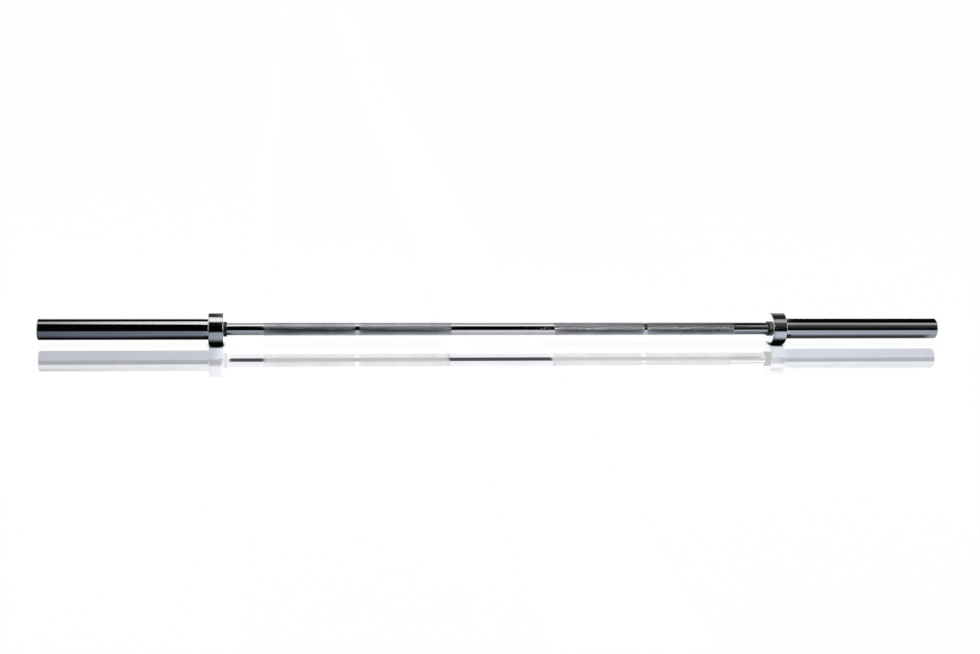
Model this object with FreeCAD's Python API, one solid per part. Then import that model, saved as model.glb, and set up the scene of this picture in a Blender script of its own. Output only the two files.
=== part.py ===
"""A seven foot class olympic barbell: one turned shaft and two revolving sleeves on plain bearings.

The bar lies along X with its middle at the origin and Z up. All sizes are in millimetres.
The right hand sleeve assembly is modelled, and the left one is its mirror image.
"""

import FreeCAD, Part
import math
import os

from FreeCAD import Vector

# Lengths along the bar
clear_span = 1340.0            # between the inner faces of the two stop collars
collar_width = 35.0
load_length = 395.0            # sleeve outside the collar, where the plates hang
centre_plain_length = 254.0    # smooth middle of the grip
ring_spacing = 706.0           # between the middles of the two ring marks
ring_mark_width = 9.0          # smooth band that interrupts the knurl
plain_end_length = 94.0        # smooth shaft from the knurl to the collar, where a rack holds the bar

# Diameters and radial steps
grip_diameter = 30.0
sleeve_diameter = 49.8
collar_diameter = 78.0
shoulder_height = 2.5          # step from the grip down to the journal inside the sleeve
collar_seat_step = 2.0         # height of the cone on the sleeve that the stop collar is pushed up to
knurl_rise = 0.2               # rolling the knurl lifts the bands above the grip

# Bearings
bushing_wall = 4.0
bushing_length = 50.0
flange_thickness = 4.0
flange_reach = 1.45            # how far the flange stands out past the bushing's wall
bore_relief = 3.0              # room round the journal between the two bushings
inner_washer_thickness = 3.0
outer_washer_thickness = 3.0
outer_washer_rim = 0.6         # how far the outer washer stays inside the sleeve's end chamber
shim_thickness = 0.5
shim_width = 3.0               # radial width of the thin end float shim

# Retaining ring on the shaft
shaft_ring_thickness = 1.2
shaft_groove_depth = 0.55
shaft_ring_wide = 3.2          # radial width opposite the gap
shaft_ring_narrow = 2.0        # radial width beside the gap
shaft_eye_radius = 2.1
shaft_eye_hole = 1.0
shaft_stub = 3.5               # shaft outside the ring's groove
ring_room = 5.0                # radial room round the journal for the ring and its eyes

# End cap and the ring that holds it
cap_thickness = 6.0
cap_shoulder = 1.5             # ledge in the sleeve that the cap sits on
cap_dish_diameter = 26.0
cap_dish_depth = 0.8
cap_ring_thickness = 1.5
cap_groove_depth = 1.25
cap_ring_wide = 3.6
cap_ring_narrow = 2.4
cap_eye_radius = 2.5
cap_eye_hole = 1.2
end_lip = 2.5                  # sleeve outside the cap ring's groove
cap_gap = 3.0                  # free space between the shaft's end and the cap

# Fits
running_clearance = 0.05       # radial, between journal and bushing
washer_clearance = 0.1         # radial, between journal and washers
end_float = 0.2                # play of the sleeve at each thrust face
ring_side_clearance = 0.1      # a groove is this much wider than its ring
seat_clearance = 0.05          # cap in its seat, rings in their grooves, cone in the collar

# Edges
collar_chamfer = 1.2
sleeve_end_chamfer = 1.5
small_chamfer = 0.5
centre_hole_diameter = 8.0     # lathe centre in each end of the shaft
centre_hole_angle = 60.0
ring_gap_angle = 14.0          # opening of both kinds of retaining ring
eye_angle = 15.0               # from the middle of the gap to each eye

# Radii that follow from the sizes above
grip_radius = grip_diameter / 2
knurl_radius = grip_radius + knurl_rise
journal_radius = grip_radius - shoulder_height
bearing_bore_radius = journal_radius + running_clearance
washer_bore_radius = journal_radius + washer_clearance
bushing_radius = bearing_bore_radius + bushing_wall
flange_radius = bushing_radius + flange_reach
relief_radius = journal_radius + bore_relief
sleeve_radius = sleeve_diameter / 2
spigot_radius = sleeve_radius - collar_seat_step
chamber_radius = journal_radius + ring_room
cap_seat_radius = chamber_radius + cap_shoulder
cap_groove_radius = cap_seat_radius + cap_groove_depth
shaft_groove_radius = journal_radius - shaft_groove_depth

# Stations along the right half of the bar, from the middle outwards
collar_inner_x = clear_span / 2
collar_outer_x = collar_inner_x + collar_width
collar_cone_x = collar_outer_x - collar_seat_step
sleeve_end_x = collar_outer_x + load_length
flange_x = collar_inner_x - flange_thickness
inner_washer_x = flange_x - end_float - inner_washer_thickness
cap_ring_x = sleeve_end_x - end_lip - cap_ring_thickness
cap_x = cap_ring_x - cap_thickness
shaft_end_x = cap_x - cap_gap
shaft_ring_x = shaft_end_x - shaft_stub - shaft_ring_thickness
shim_x = shaft_ring_x - shim_thickness
outer_washer_x = shim_x - outer_washer_thickness
outer_bushing_end_x = outer_washer_x - end_float
outer_bushing_x = outer_bushing_end_x - bushing_length
knurl_outer_end_x = collar_inner_x - plain_end_length
ring_mark_inner_x = (ring_spacing - ring_mark_width) / 2
ring_mark_outer_x = (ring_spacing + ring_mark_width) / 2

AXIS = Vector(1, 0, 0)
ORIGIN = Vector(0, 0, 0)


def turned(outline):
    """A solid turned about the bar's axis from a closed outline of (x, radius) points."""
    corners = [Vector(x, 0, radius) for x, radius in outline]
    face = Part.Face(Part.makePolygon(corners + corners[:1]))
    return face.revolve(ORIGIN, AXIS, 360)


def disc(x, radius, thickness, y=0.0, z=0.0):
    """A plain disc from x outwards, its axis along the bar through (y, z)."""
    return Part.makeCylinder(radius, thickness, Vector(x, y, z), AXIS)


def washer(x, bore_radius, rim_radius, thickness, edge):
    """A turned washer with both rim edges broken."""
    end = x + thickness
    return turned([
        (x, bore_radius),
        (x, rim_radius - edge),
        (x + edge, rim_radius),
        (end - edge, rim_radius),
        (end, rim_radius - edge),
        (end, bore_radius),
    ])


def knurled_band(start, end):
    """Outline points of a raised knurled band that runs out at 45 degrees at both ends."""
    return [
        (start, grip_radius),
        (start + knurl_rise, knurl_radius),
        (end - knurl_rise, knurl_radius),
        (end, grip_radius),
    ]


def make_shaft():
    """The shaft: grip with four knurled bands, a journal and a ring groove at each end."""
    groove_outer_x = shaft_ring_x + shaft_ring_thickness
    groove_inner_x = shaft_ring_x - ring_side_clearance
    centre_hole_radius = centre_hole_diameter / 2
    centre_hole_depth = centre_hole_radius / math.tan(math.radians(centre_hole_angle / 2))
    right_half = (
        knurled_band(centre_plain_length / 2, ring_mark_inner_x)
        + knurled_band(ring_mark_outer_x, knurl_outer_end_x)
        + [
            (inner_washer_x - small_chamfer, grip_radius),
            (inner_washer_x, grip_radius - small_chamfer),
            (inner_washer_x, journal_radius),
            (groove_inner_x, journal_radius),
            (groove_inner_x, shaft_groove_radius),
            (groove_outer_x, shaft_groove_radius),
            (groove_outer_x, journal_radius),
            (shaft_end_x - small_chamfer, journal_radius),
            (shaft_end_x, journal_radius - small_chamfer),
            (shaft_end_x, centre_hole_radius),
            (shaft_end_x - centre_hole_depth, 0.0),
        ]
    )
    left_half = [(-x, radius) for x, radius in reversed(right_half)]
    return turned(left_half + right_half)


def make_sleeve():
    """The sleeve: spigot for the collar, two bushing seats, end chamber, cap seat and ring groove."""
    groove_outer_x = cap_ring_x + cap_ring_thickness
    groove_inner_x = cap_ring_x - ring_side_clearance
    return turned([
        (collar_inner_x, bushing_radius),
        (collar_inner_x, spigot_radius - small_chamfer),
        (collar_inner_x + small_chamfer, spigot_radius),
        (collar_cone_x, spigot_radius),
        (collar_outer_x, sleeve_radius),
        (sleeve_end_x - sleeve_end_chamfer, sleeve_radius),
        (sleeve_end_x, sleeve_radius - sleeve_end_chamfer),
        (sleeve_end_x, cap_seat_radius + small_chamfer),
        (sleeve_end_x - small_chamfer, cap_seat_radius),
        (groove_outer_x, cap_seat_radius),
        (groove_outer_x, cap_groove_radius),
        (groove_inner_x, cap_groove_radius),
        (groove_inner_x, cap_seat_radius),
        (cap_x, cap_seat_radius),
        (cap_x, chamber_radius),
        (outer_bushing_end_x, chamber_radius),
        (outer_bushing_end_x, bushing_radius),
        (outer_bushing_x, bushing_radius),
        (outer_bushing_x, relief_radius),
        (collar_inner_x + bushing_length, relief_radius),
        (collar_inner_x + bushing_length, bushing_radius),
    ])


def make_stop_collar():
    """The stop collar: a thick ring shrunk on the spigot, its bore flared over the sleeve's cone."""
    rim_radius = collar_diameter / 2
    return turned([
        (collar_inner_x, spigot_radius),
        (collar_inner_x, rim_radius - collar_chamfer),
        (collar_inner_x + collar_chamfer, rim_radius),
        (collar_outer_x - collar_chamfer, rim_radius),
        (collar_outer_x, rim_radius - collar_chamfer),
        (collar_outer_x, sleeve_radius + seat_clearance),
        (collar_cone_x - seat_clearance, spigot_radius),
    ])


def make_inner_bushing():
    """The flanged bushing pressed in the sleeve's inner end, flange against the spigot."""
    end_x = collar_inner_x + bushing_length
    return turned([
        (flange_x, bearing_bore_radius + small_chamfer),
        (flange_x, flange_radius - small_chamfer),
        (flange_x + small_chamfer, flange_radius),
        (collar_inner_x, flange_radius),
        (collar_inner_x, bushing_radius),
        (end_x, bushing_radius),
        (end_x, bearing_bore_radius),
        (flange_x + small_chamfer, bearing_bore_radius),
    ])


def make_outer_bushing():
    """The plain bushing pressed in the sleeve's outer end."""
    return turned([
        (outer_bushing_x, bearing_bore_radius),
        (outer_bushing_x, bushing_radius),
        (outer_bushing_end_x, bushing_radius),
        (outer_bushing_end_x, bearing_bore_radius + small_chamfer),
        (outer_bushing_end_x - small_chamfer, bearing_bore_radius),
    ])


def make_end_cap():
    """The cap: a disc with a shallow dished face, seated on the ledge in the sleeve's end."""
    rim_radius = cap_seat_radius - seat_clearance
    dish_radius = cap_dish_diameter / 2
    face_x = cap_x + cap_thickness
    return turned([
        (cap_x, 0.0),
        (cap_x, rim_radius - small_chamfer),
        (cap_x + small_chamfer, rim_radius),
        (face_x, rim_radius),
        (face_x, dish_radius),
        (face_x - cap_dish_depth, dish_radius - cap_dish_depth),
        (face_x - cap_dish_depth, 0.0),
    ])


def cut_gap_and_eyes(ring, x, thickness, eye_circle, eye_radius, eye_hole, trim):
    """Opens a ring at the top and gives its two ends drilled eyes for the pliers.

    The eyes are fused on, then trim, the shaft or the bore's outside, is cut away from them.
    """
    half_gap = math.radians(ring_gap_angle / 2)
    reach = 2 * (eye_circle + eye_radius)
    gap = Part.Face(Part.makePolygon([
        Vector(x, 0, 0),
        Vector(x, -reach * math.tan(half_gap), reach),
        Vector(x, reach * math.tan(half_gap), reach),
        Vector(x, 0, 0),
    ])).extrude(AXIS * thickness)
    holes = []
    for side in (-1, 1):
        turn = math.radians(side * eye_angle)
        y = eye_circle * math.sin(turn)
        z = eye_circle * math.cos(turn)
        ring = ring.fuse(disc(x, eye_radius, thickness, y, z))
        holes.append(disc(x, eye_hole, thickness, y, z))
    return ring.cut([trim, gap] + holes).removeSplitter()


def make_shaft_retaining_ring():
    """The external retaining ring: widest opposite its gap, eyes outwards, bottomed in the groove."""
    bore_radius = shaft_groove_radius
    offset = (shaft_ring_wide - shaft_ring_narrow) / 2
    rim_radius = bore_radius + (shaft_ring_wide + shaft_ring_narrow) / 2
    blank = disc(shaft_ring_x, rim_radius, shaft_ring_thickness, z=-offset)
    bore = disc(shaft_ring_x, bore_radius, shaft_ring_thickness)
    return cut_gap_and_eyes(
        blank.cut(bore), shaft_ring_x, shaft_ring_thickness,
        bore_radius + shaft_eye_radius, shaft_eye_radius, shaft_eye_hole, bore,
    )


def make_cap_retaining_ring():
    """The internal retaining ring: widest opposite its gap, eyes inwards, sprung into the groove."""
    rim_radius = cap_groove_radius - seat_clearance
    offset = (cap_ring_wide - cap_ring_narrow) / 2
    window_radius = rim_radius - (cap_ring_wide + cap_ring_narrow) / 2
    blank = disc(cap_ring_x, rim_radius, cap_ring_thickness)
    window = disc(cap_ring_x, window_radius, cap_ring_thickness, z=offset)
    outside = disc(cap_ring_x, rim_radius + cap_eye_radius, cap_ring_thickness).cut(blank)
    return cut_gap_and_eyes(
        blank.cut(window), cap_ring_x, cap_ring_thickness,
        rim_radius - cap_eye_radius, cap_eye_radius, cap_eye_hole, outside,
    )


def make_sleeve_assembly():
    """Every piece of the right hand sleeve assembly by name."""
    return {
        "sleeve": make_sleeve(),
        "stop_collar": make_stop_collar(),
        "inner_bushing": make_inner_bushing(),
        "inner_thrust_washer": washer(
            inner_washer_x, washer_bore_radius, flange_radius, inner_washer_thickness, small_chamfer),
        "outer_bushing": make_outer_bushing(),
        "outer_thrust_washer": washer(
            outer_washer_x, washer_bore_radius, chamber_radius - outer_washer_rim,
            outer_washer_thickness, small_chamfer),
        "end_float_shim": disc(shim_x, washer_bore_radius + shim_width, shim_thickness).cut(
            disc(shim_x, washer_bore_radius, shim_thickness)),
        "shaft_retaining_ring": make_shaft_retaining_ring(),
        "end_cap": make_end_cap(),
        "cap_retaining_ring": make_cap_retaining_ring(),
    }


def main():
    """Builds every piece and writes one STEP file for each."""
    os.makedirs("parts", exist_ok=True)
    pieces = {"shaft": make_shaft()}
    for name, shape in make_sleeve_assembly().items():
        pieces["right_" + name] = shape
        pieces["left_" + name] = shape.mirror(ORIGIN, AXIS)
    for name, shape in pieces.items():
        solid = shape.Solids[0]
        if len(shape.Solids) != 1 or not solid.isValid() or solid.Volume <= 0:
            raise RuntimeError("piece is not one sound solid: " + name)
        solid.exportStep("parts/" + name + ".step")
        print(name, "volume", round(solid.Volume, 1), "mm3")


main()
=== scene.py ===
"""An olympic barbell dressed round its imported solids, on a pale studio floor.

The bar lies along X with its middle at the origin and Z up. Sizes are in metres.
"""

import logging
import math
from dataclasses import dataclass, replace
from enum import Enum
from typing import Any

import bpy
from mathutils import Matrix, Vector


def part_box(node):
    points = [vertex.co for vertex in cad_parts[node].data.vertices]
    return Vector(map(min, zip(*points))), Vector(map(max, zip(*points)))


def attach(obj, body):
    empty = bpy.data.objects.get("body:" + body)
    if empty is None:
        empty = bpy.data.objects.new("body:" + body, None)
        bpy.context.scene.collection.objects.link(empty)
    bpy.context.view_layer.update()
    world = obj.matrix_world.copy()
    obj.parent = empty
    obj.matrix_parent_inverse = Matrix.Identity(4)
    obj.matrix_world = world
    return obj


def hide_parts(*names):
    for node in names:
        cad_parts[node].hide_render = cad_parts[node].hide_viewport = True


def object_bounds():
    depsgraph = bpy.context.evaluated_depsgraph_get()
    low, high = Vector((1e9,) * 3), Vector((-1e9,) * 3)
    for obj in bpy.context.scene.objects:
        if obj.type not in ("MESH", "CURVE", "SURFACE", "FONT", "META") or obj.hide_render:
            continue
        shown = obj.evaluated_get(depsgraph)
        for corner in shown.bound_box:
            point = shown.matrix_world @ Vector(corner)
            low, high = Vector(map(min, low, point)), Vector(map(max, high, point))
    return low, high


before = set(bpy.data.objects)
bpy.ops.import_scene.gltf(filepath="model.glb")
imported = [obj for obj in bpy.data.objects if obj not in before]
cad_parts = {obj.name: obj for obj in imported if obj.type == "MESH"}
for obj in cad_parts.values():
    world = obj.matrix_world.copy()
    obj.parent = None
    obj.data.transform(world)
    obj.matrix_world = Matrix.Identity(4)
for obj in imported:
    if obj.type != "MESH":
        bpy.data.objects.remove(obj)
cad_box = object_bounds()
log = logging.getLogger("barbell")

Colour = tuple[float, float, float]
Socket = bpy.types.NodeSocket
Wire = Socket | float | Colour
Wires = dict[str | int, Wire]
Stops = tuple[tuple[float, float], ...]

MAP_NAME = "OFBake"
EDGE_MARK = "edge"
GROOVE_MARK = "groove"
WHITE = (1.0, 1.0, 1.0)
BLACK = (0.0, 0.0, 0.0)


class Side(Enum):
    """The two ends of the bar, as one stands behind it."""

    LEFT = "left"
    RIGHT = "right"

    @property
    def sign(self) -> int:
        """The direction of this end along X."""
        return 1 if self is Side.RIGHT else -1

    @property
    def body(self) -> str:
        """The body that this end's sleeve turns with."""
        return f"{self.value}_sleeve_unit"

    def node(self, piece: str) -> str:
        """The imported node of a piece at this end."""
        return f"{self.value}_{piece}"


class Slot(Enum):
    """The finishes that the record names."""

    SHAFT = "shaft_chrome"
    SLEEVE = "sleeve_chrome"
    COLLAR = "collar_chrome"
    CAP = "cap_plate"
    BRONZE = "bronze"
    ACETAL = "black_acetal"
    WASHER = "washer_steel"
    SPRING = "spring_steel"


class Effect(Enum):
    """The shader groups that several finishes share."""

    TURNING = "turning_marks"
    WEAR = "handling_wear"
    FILM = "dust_film"
    RIPPLE = "polish_ripple"


class Wiring:
    """Adds nodes to one tree and links them."""

    def __init__(self, tree: bpy.types.NodeTree) -> None:
        """Keeps the node tree of a group, material or world."""
        self.tree = tree

    def feed(self, node: bpy.types.Node, wires: Wires) -> None:
        """Sets or links a node's inputs.

        Args:
            node: The node.
            wires: Values or sockets for its inputs, by name or number.
        """
        for key, value in wires.items():
            socket = node.inputs[key]
            if isinstance(value, Socket):
                self.tree.links.new(value, socket)
            elif isinstance(value, tuple) and socket.type == "RGBA":
                socket.default_value = (*value, 1.0)
            else:
                socket.default_value = value

    def add(self, kind: str, wires: Wires | None = None, **settings: Any) -> bpy.types.Node:
        """Adds one node.

        Args:
            kind: The node's type name.
            wires: Values or sockets for its inputs, by name or number.
            **settings: Properties of the node itself.

        Returns:
            The new node.
        """
        node = self.tree.nodes.new(kind)
        for key, value in settings.items():
            setattr(node, key, value)
        self.feed(node, wires or {})
        return node

    def math(self, operation: str, *terms: Wire) -> Socket:
        """One arithmetic step, taken again for each term after the second.

        Args:
            operation: The name of the step, such as ADD.
            *terms: Its values or sockets.

        Returns:
            The result's socket.
        """
        if len(terms) > 2:
            terms = (self.math(operation, *terms[:-1]), terms[-1])
        return self.add("ShaderNodeMath", dict(enumerate(terms)), operation=operation).outputs[0]

    def times(self, *terms: Wire) -> Socket:
        """The product of values."""
        return self.math("MULTIPLY", *terms)

    def less(self, value: Wire) -> Socket:
        """What is left of one after a value is taken off."""
        return self.math("SUBTRACT", 1.0, value)

    def spread(
        self, value: Wire, low: Wire, high: Wire, to_low: Wire = 0.0, to_high: Wire = 1.0
    ) -> Socket:
        """Maps a range of values softly on another.

        Args:
            value: What is mapped.
            low: The value that gives to_low.
            high: The value that gives to_high.
            to_low: The result at low.
            to_high: The result at high.

        Returns:
            The result's socket.
        """
        wires = {"Value": value, "From Min": low, "From Max": high, "To Min": to_low, "To Max": to_high}
        return self.add("ShaderNodeMapRange", wires, interpolation_type="SMOOTHSTEP").outputs["Result"]

    def blend(self, share: Wire, first: Wire, second: Wire) -> Socket:
        """Mixes two colours.

        Args:
            share: How much of the second colour shows.
            first: The first colour.
            second: The second colour.

        Returns:
            The mixed colour's socket.
        """
        return self.add("ShaderNodeMix", {0: share, 6: first, 7: second}, data_type="RGBA").outputs[2]

    def mix(self, share: Wire, first: Socket, second: Socket) -> Socket:
        """Mixes two shaders by the share of the second."""
        return self.add("ShaderNodeMixShader", {0: share, 1: first, 2: second}).outputs[0]

    def glow(self, colour: Wire, strength: Wire = 1.0) -> Socket:
        """A shader that gives light of a colour."""
        return self.add("ShaderNodeEmission", {"Color": colour, "Strength": strength}).outputs[0]

    def ramp(self, value: Wire, stops: Stops, scale: float = 1.0) -> Socket:
        """Levels that change along a measure.

        Args:
            value: The measure, such as a place along X.
            stops: Pairs of a measure and its level, from 0 to 1, in rising order.
            scale: What the levels are multiplied by.

        Returns:
            The level's socket.
        """
        low, high = stops[0][0], stops[-1][0]
        wires = {"Value": value, "From Min": low, "From Max": high}
        share = self.add("ShaderNodeMapRange", wires).outputs["Result"]
        node = self.add("ShaderNodeValToRGB", {"Fac": share})
        bar = node.color_ramp
        bar.interpolation = "EASE"
        for index, (at, level) in enumerate(stops):
            place = (at - low) / (high - low)
            element = bar.elements[index] if index < 2 else bar.elements.new(place)
            element.position = place
            element.color = (level, level, level, 1.0)
        return self.times(node.outputs["Color"], scale)

    def place(self) -> list[Socket]:
        """The sockets of x, y and z on the surface."""
        spot = self.add("ShaderNodeTexCoord").outputs["Object"]
        return list(self.add("ShaderNodeSeparateXYZ", {0: spot}).outputs)

    def radius(self, y: Socket, z: Socket) -> Socket:
        """The distance from the bar's axis."""
        across = self.add("ShaderNodeCombineXYZ", {1: y, 2: z}).outputs[0]
        return self.add("ShaderNodeVectorMath", {0: across}, operation="LENGTH").outputs["Value"]

    def line_noise(self, place: Wire, detail: float) -> Socket:
        """Noise along one measure, with so many layers of finer noise."""
        wires = {"W": place, "Scale": 1.0, "Detail": detail}
        return self.add("ShaderNodeTexNoise", wires, noise_dimensions="1D").outputs[0]

    def stretched_noise(self, along: float, across: float, detail: float, roughness: float = 0.55) -> Socket:
        """Noise whose grain is stretched along the bar.

        Args:
            along: Grains to the metre along X.
            across: Grains to the metre across X.
            detail: Layers of finer noise.
            roughness: How strong the finer layers are.

        Returns:
            The noise value's socket.
        """
        spot = self.add("ShaderNodeTexCoord").outputs["Object"]
        grains = (along, across, across)
        scaled = self.add("ShaderNodeVectorMath", {0: spot, 1: grains}, operation="MULTIPLY").outputs[0]
        wires = {"Vector": scaled, "Scale": 1.0, "Detail": detail, "Roughness": roughness}
        return self.add("ShaderNodeTexNoise", wires).outputs[0]


class EffectShelf:
    """Makes each shared shader group once and hands it out."""

    # Shares of the fine and the broad lathe rings, and how many broad ones go to a fine one.
    FINE_SHARE = 0.6
    BROAD_SHARE = 0.4
    BROAD_RATE = 0.17
    STREAK_FADE = (0.36, 0.64)
    # Grains to the metre along and across the bar, and layers of finer noise.
    SCUFF_GRAIN = (14.0, 45.0, 5.0)
    SCRATCH_GRAIN = (9.0, 1300.0, 2.0)
    EDGE_GRAIN = (160.0, 160.0, 3.0)
    RIPPLE_GRAIN = (7.0, 38.0, 1.5)
    # Where scuffs start in the noise, how far their spread moves that, and how soon they are full.
    SCUFF_START = 0.74
    SCUFF_SPREAD = 0.24
    SCUFF_GAIN = 5.0
    SCRATCH_FADE = (0.6, 0.74)
    EDGE_FADE = (0.3, 0.6, 0.35, 1.0)
    FILM_DETAIL = 6.0
    FILM_FADE = (0.4, 0.72)
    GROOVE_FADE = (0.25, 0.7, 0.55, 1.0)

    def __init__(self) -> None:
        """Builds every group."""
        self.groups: dict[Effect, bpy.types.NodeTree] = {
            Effect.TURNING: self.turning_marks(),
            Effect.WEAR: self.handling_wear(),
            Effect.FILM: self.dust_film(),
            Effect.RIPPLE: self.polish_ripple(),
        }

    def use(self, wiring: Wiring, effect: Effect, **values: float) -> Any:
        """Places a group in a material.

        Args:
            wiring: The material's wiring.
            effect: Which group it is.
            **values: Its inputs by name.

        Returns:
            The group's output sockets.
        """
        return wiring.add("ShaderNodeGroup", values, node_tree=self.groups[effect]).outputs

    @staticmethod
    def start(effect: Effect, name: str, value: float, *outputs: str) -> tuple[Wiring, Socket]:
        """Begins a group that has one number input.

        Args:
            effect: Which group it is.
            name: The input's name.
            value: The input's first value.
            *outputs: The names of its number outputs.

        Returns:
            The group's wiring and its input socket.
        """
        tree = bpy.data.node_groups.new(effect.value, "ShaderNodeTree")
        number = "NodeSocketFloat"
        given = tree.interface.new_socket(name=name, in_out="INPUT", socket_type=number)
        given.default_value = value
        for output in outputs:
            tree.interface.new_socket(name=output, in_out="OUTPUT", socket_type=number)
        wiring = Wiring(tree)
        return wiring, wiring.add("NodeGroupInput").outputs[name]

    def turning_marks(self) -> bpy.types.NodeTree:
        """Fine rings that a lathe tool leaves, along X on a rim and outwards on a face.

        Returns:
            The group, with Streak from 0 to 1 and Height.
        """
        wiring, marks = self.start(Effect.TURNING, "Marks", 1500.0, "Streak", "Height")
        x, y, z = wiring.place()
        along = wiring.math("ADD", x, wiring.radius(y, z))
        fine = wiring.line_noise(wiring.times(along, marks), 2.0)
        broad = wiring.line_noise(wiring.times(along, wiring.times(marks, self.BROAD_RATE)), 1.0)
        both = wiring.math(
            "ADD", wiring.times(fine, self.FINE_SHARE), wiring.times(broad, self.BROAD_SHARE)
        )
        streak = wiring.spread(both, *self.STREAK_FADE)
        wiring.add("NodeGroupOutput", {"Streak": streak, "Height": both})
        return wiring.tree

    def handling_wear(self) -> bpy.types.NodeTree:
        """Scuffs, lengthwise scratches and rubbed corners.

        Returns:
            The group, with Scuff, Scratch and Edge from 0 to 1.
        """
        wiring, spread = self.start(Effect.WEAR, "Spread", 0.5, "Scuff", "Scratch", "Edge")
        cloud = wiring.stretched_noise(*self.SCUFF_GRAIN)
        start = wiring.math("SUBTRACT", self.SCUFF_START, wiring.times(spread, self.SCUFF_SPREAD))
        scuff = wiring.times(wiring.math("SUBTRACT", cloud, start), self.SCUFF_GAIN)
        scuff = wiring.math("MINIMUM", wiring.math("MAXIMUM", scuff, 0.0), 1.0)
        scratch = wiring.spread(wiring.stretched_noise(*self.SCRATCH_GRAIN), *self.SCRATCH_FADE)
        corner = wiring.add("ShaderNodeAttribute", attribute_name=EDGE_MARK).outputs["Fac"]
        broken = wiring.spread(wiring.stretched_noise(*self.EDGE_GRAIN), *self.EDGE_FADE)
        edge = wiring.times(corner, broken)
        wiring.add("NodeGroupOutput", {"Scuff": scuff, "Scratch": scratch, "Edge": edge})
        return wiring.tree

    def dust_film(self) -> bpy.types.NodeTree:
        """A thin cloudy film, and a darker tone at the bottom of the knurl's grooves.

        Returns:
            The group, with Film and Groove from 0 to 1.
        """
        wiring, patch = self.start(Effect.FILM, "Patch", 22.0, "Film", "Groove")
        spot = wiring.add("ShaderNodeTexCoord").outputs["Object"]
        wires = {"Vector": spot, "Scale": patch, "Detail": self.FILM_DETAIL}
        cloud = wiring.add("ShaderNodeTexNoise", wires).outputs[0]
        groove = wiring.add("ShaderNodeAttribute", attribute_name=GROOVE_MARK).outputs["Fac"]
        groove = wiring.times(groove, wiring.spread(cloud, *self.GROOVE_FADE))
        film = wiring.spread(cloud, *self.FILM_FADE)
        wiring.add("NodeGroupOutput", {"Film": film, "Groove": groove})
        return wiring.tree

    def polish_ripple(self) -> bpy.types.NodeTree:
        """The slow waviness of a surface polished on a wheel.

        Returns:
            The group, with Height.
        """
        wiring, depth = self.start(Effect.RIPPLE, "Depth", 1.0, "Height")
        wave = wiring.stretched_noise(*self.RIPPLE_GRAIN)
        wiring.add("NodeGroupOutput", {"Height": wiring.times(wave, depth)})
        return wiring.tree


def new_material(name: str) -> tuple[bpy.types.Material, Wiring]:
    """Begins a material.

    Args:
        name: Its name.

    Returns:
        The material and its wiring.
    """
    material = bpy.data.materials.new(name)
    material.use_nodes = True
    return material, Wiring(material.node_tree)


def finish_surface(wiring: Wiring, colour: Wire, rough: Wire, height: Wire, plain: Wires) -> None:
    """Feeds a material's own shader.

    Args:
        wiring: The material's wiring.
        colour: The base colour.
        rough: The roughness.
        height: The height of the small marks, in metres.
        plain: Other inputs that are the same all over, by name.
    """
    bump = wiring.add("ShaderNodeBump", {"Strength": 1.0, "Distance": 1.0, "Height": height})
    wires = {"Base Color": colour, "Roughness": rough, "Normal": bump.outputs[0]}
    wiring.feed(wiring.tree.nodes["Principled BSDF"], {**wires, **plain})


@dataclass(frozen=True)
class MetalFinish:
    """A bare or plated metal with its marks of making and use."""

    name: str
    tint: Colour
    film_tint: Colour
    edge_tint: Colour
    smooth: float
    dull: float
    marks: float = 1500.0
    mark_share: float = 0.3
    mark_depth: float = 0.0
    ripple_depth: float = 0.0
    wear_spread: float = 0.5
    film_share: float = 0.15
    groove_share: float = 0.0
    anisotropy: float = 0.0
    streak_tint: float = 0.5
    scuff_share: float = 0.4
    scratch_share: float = 0.25

    def material(self, shelf: EffectShelf) -> bpy.types.Material:
        """Builds the material.

        Args:
            shelf: The shared shader groups.

        Returns:
            The finished material.
        """
        material, wiring = new_material(self.name)
        turning = shelf.use(wiring, Effect.TURNING, Marks=self.marks)
        wear = shelf.use(wiring, Effect.WEAR, Spread=self.wear_spread)
        film = shelf.use(wiring, Effect.FILM)
        ripple = shelf.use(wiring, Effect.RIPPLE, Depth=self.ripple_depth)
        groove = wiring.times(film["Groove"], self.groove_share)
        streak = wiring.times(turning["Streak"], self.mark_share * self.streak_tint)
        colour = wiring.blend(wiring.times(film["Film"], self.film_share), self.tint, self.film_tint)
        # Darker at the bottom of the knurl's grooves, by the groove mark.
        colour = wiring.blend(groove, colour, self.film_tint)
        colour = wiring.blend(streak, colour, self.film_tint)
        colour = wiring.blend(wear["Edge"], colour, self.edge_tint)
        marks = wiring.math(
            "ADD",
            wiring.times(turning["Streak"], self.mark_share),
            wiring.times(wear["Scuff"], self.scuff_share),
            wiring.times(wear["Scratch"], self.scratch_share),
            groove,
        )
        rough = wiring.spread(marks, 0.0, 1.0, self.smooth, self.dull)
        height = wiring.math("ADD", wiring.times(turning["Height"], self.mark_depth), ripple["Height"])
        plain: Wires = {"Metallic": 1.0}
        if self.anisotropy:
            tangent = wiring.add("ShaderNodeTangent", direction_type="RADIAL", axis="X")
            plain.update({"Anisotropic": self.anisotropy, "Tangent": tangent.outputs[0]})
        finish_surface(wiring, colour, rough, height, plain)
        return material


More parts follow.
